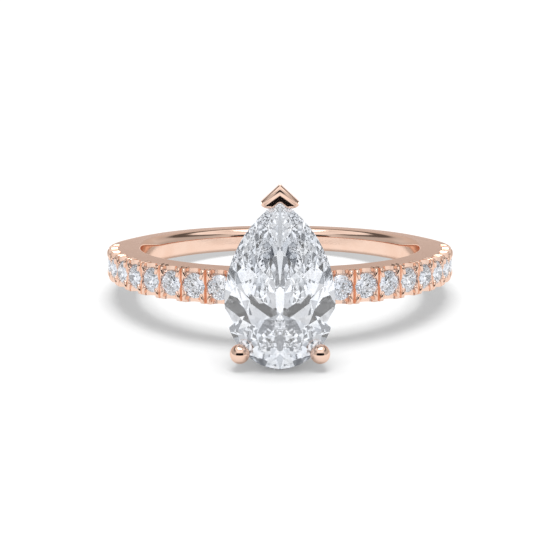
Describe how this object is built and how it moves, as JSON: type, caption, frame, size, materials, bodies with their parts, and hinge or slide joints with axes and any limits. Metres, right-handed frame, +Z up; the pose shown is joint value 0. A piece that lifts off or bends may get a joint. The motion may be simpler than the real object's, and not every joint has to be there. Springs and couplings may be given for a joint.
{
  "type": "engagement ring",
  "caption": "Rose-gold engagement ring lying on its side, with a pear-cut diamond in a basket of claws and a pave-set band.",
  "frame": {"origin": "centre of the footprint, on the floor the ring lies on", "axes": "+Z up, +Y from the pear-cut stone towards the back of the band, +X across the finger hole"},
  "size_m": [0.0204, 0.0238, 0.0094],
  "materials": {
    "rose_gold": "polished",
    "pear_diamond": "polished",
    "pave_diamond": "polished"
  },
  "bodies": {
    "root": {"shank": "rose_gold", "lower_gallery_rail": "rose_gold", "upper_gallery_rail": "rose_gold", "v_prong": "rose_gold", "claw_prong_left": "rose_gold", "claw_prong_right": "rose_gold", "center_stone": "pear_diamond", "pave_stone_left_01": "pave_diamond", "pave_stone_left_02": "pave_diamond", "pave_stone_left_03": "pave_diamond", "pave_stone_left_04": "pave_diamond", "pave_stone_left_05": "pave_diamond", "pave_stone_left_06": "pave_diamond", "pave_stone_left_07": "pave_diamond", "pave_stone_left_08": "pave_diamond", "pave_stone_left_09": "pave_diamond", "pave_stone_left_10": "pave_diamond", "pave_stone_right_01": "pave_diamond", "pave_stone_right_02": "pave_diamond", "pave_stone_right_03": "pave_diamond", "pave_stone_right_04": "pave_diamond", "pave_stone_right_05": "pave_diamond", "pave_stone_right_06": "pave_diamond", "pave_stone_right_07": "pave_diamond", "pave_stone_right_08": "pave_diamond", "pave_stone_right_09": "pave_diamond", "pave_stone_right_10": "pave_diamond"}
  },
  "joints": []
}
